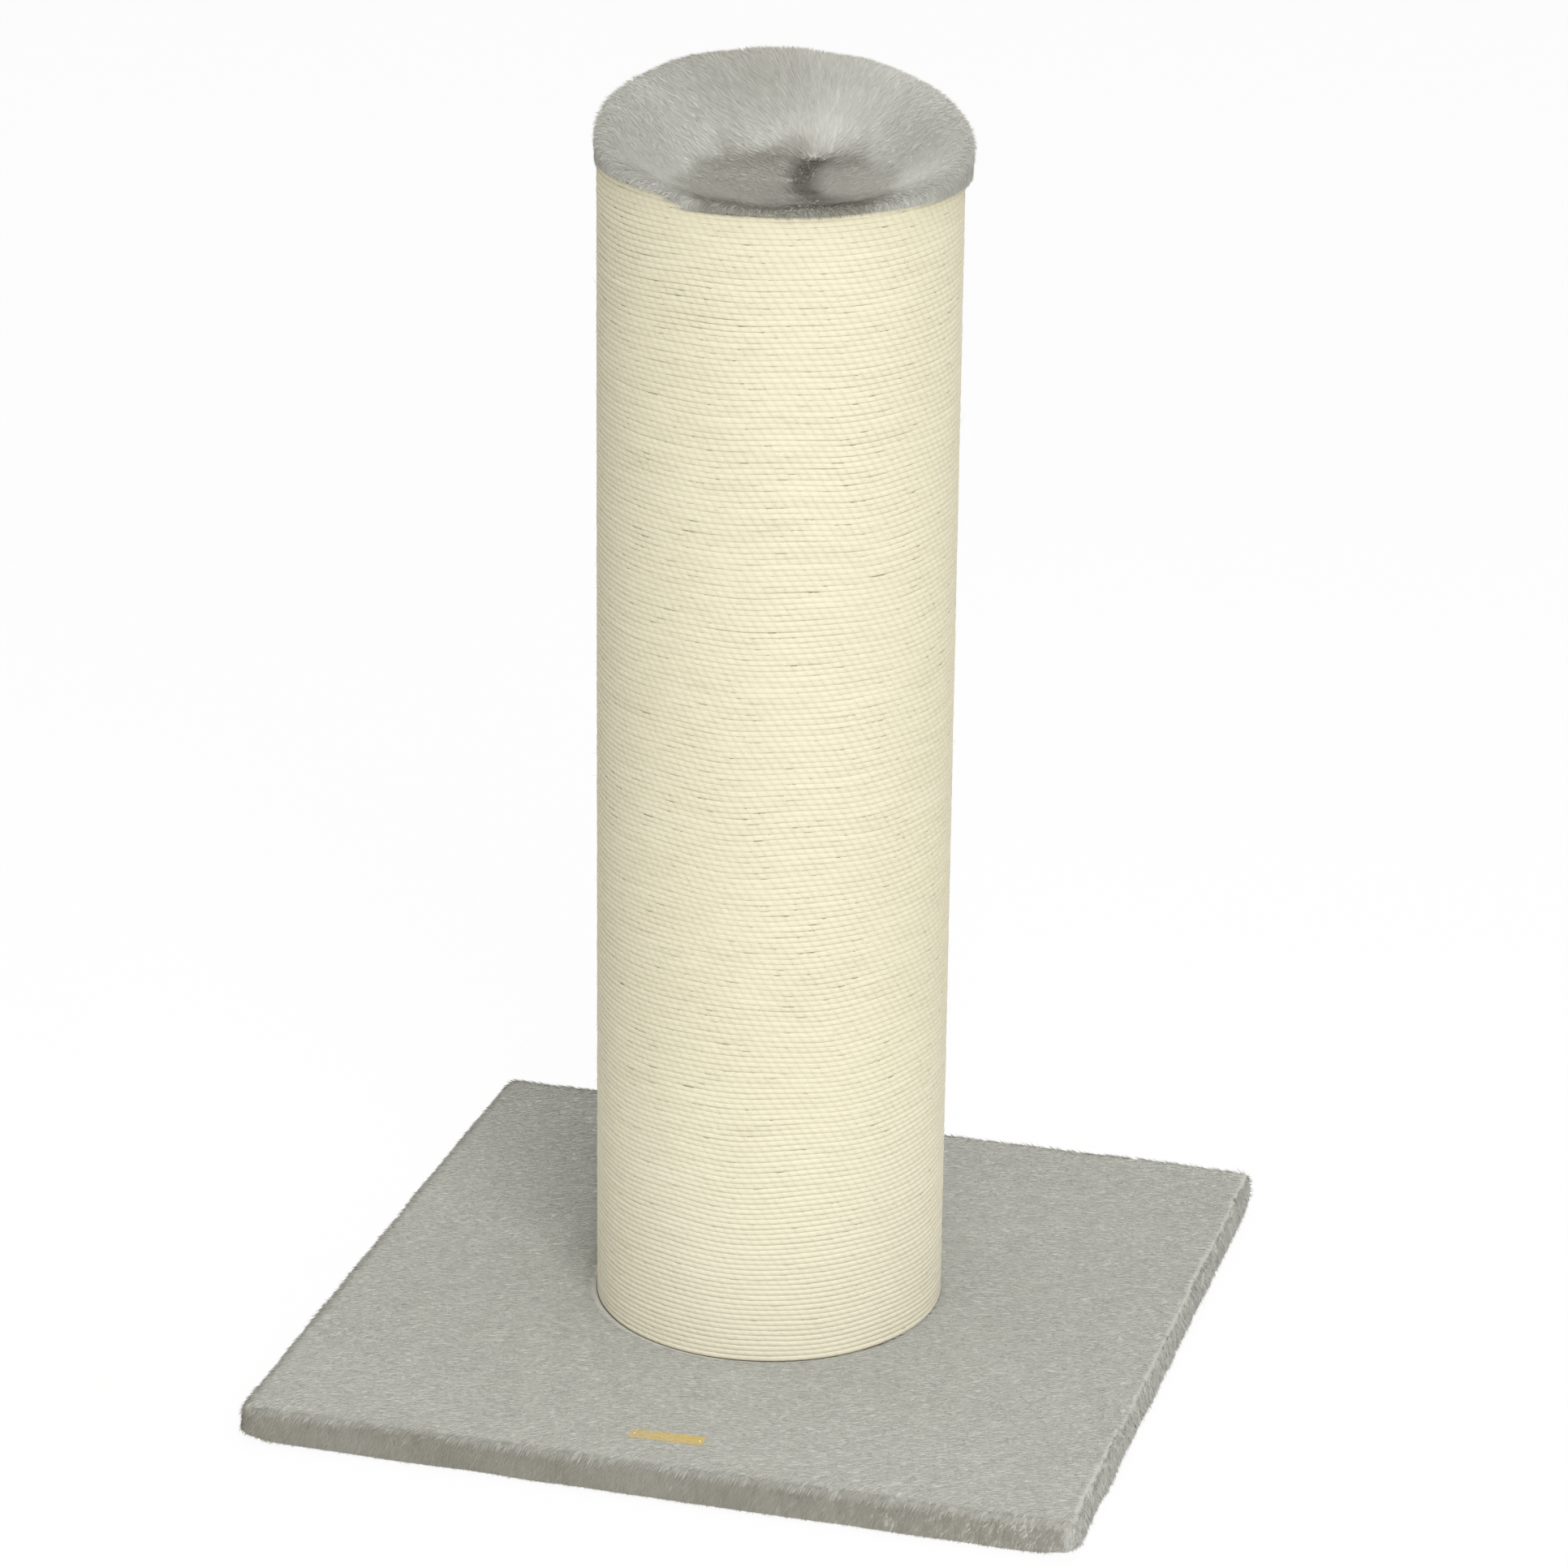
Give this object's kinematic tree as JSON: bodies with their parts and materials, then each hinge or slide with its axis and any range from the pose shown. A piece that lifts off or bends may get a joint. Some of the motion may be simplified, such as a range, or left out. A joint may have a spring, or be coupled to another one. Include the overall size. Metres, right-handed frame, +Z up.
{
  "type": "cat scratching post",
  "caption": "Free-standing cat scratching post: a thick sisal-wound column on a square plush base, with a slanted top that holds a plush-lined bowl.",
  "frame": {"origin": "on the floor under the middle of the square base", "axes": "+Z up along the column, -Y towards the base's front edge with the name plate, +X to the right of it"},
  "size_m": [0.6, 0.6, 0.9194],
  "materials": {
    "chipboard": "raw pressed chips",
    "plush": "short dense pile",
    "felt": "pressed felt",
    "brass_plate": "brushed brass",
    "zinc_steel": "zinc plated",
    "tube_board": "spiral-wound solid board",
    "sisal": "laid natural fibre",
    "foam": "open-cell foam"
  },
  "bodies": {
    "root": {"base_board": "chipboard", "base_plush": "plush", "felt_glides": "felt", "name_plate": "brass_plate", "column_bolts": "zinc_steel", "threaded_inserts": "zinc_steel", "bottom_plug": "chipboard", "column_tube": "tube_board", "sisal_rope": "sisal", "bowl_board": "chipboard", "bowl_foam": "foam", "bowl_plush": "plush"}
  },
  "joints": []
}
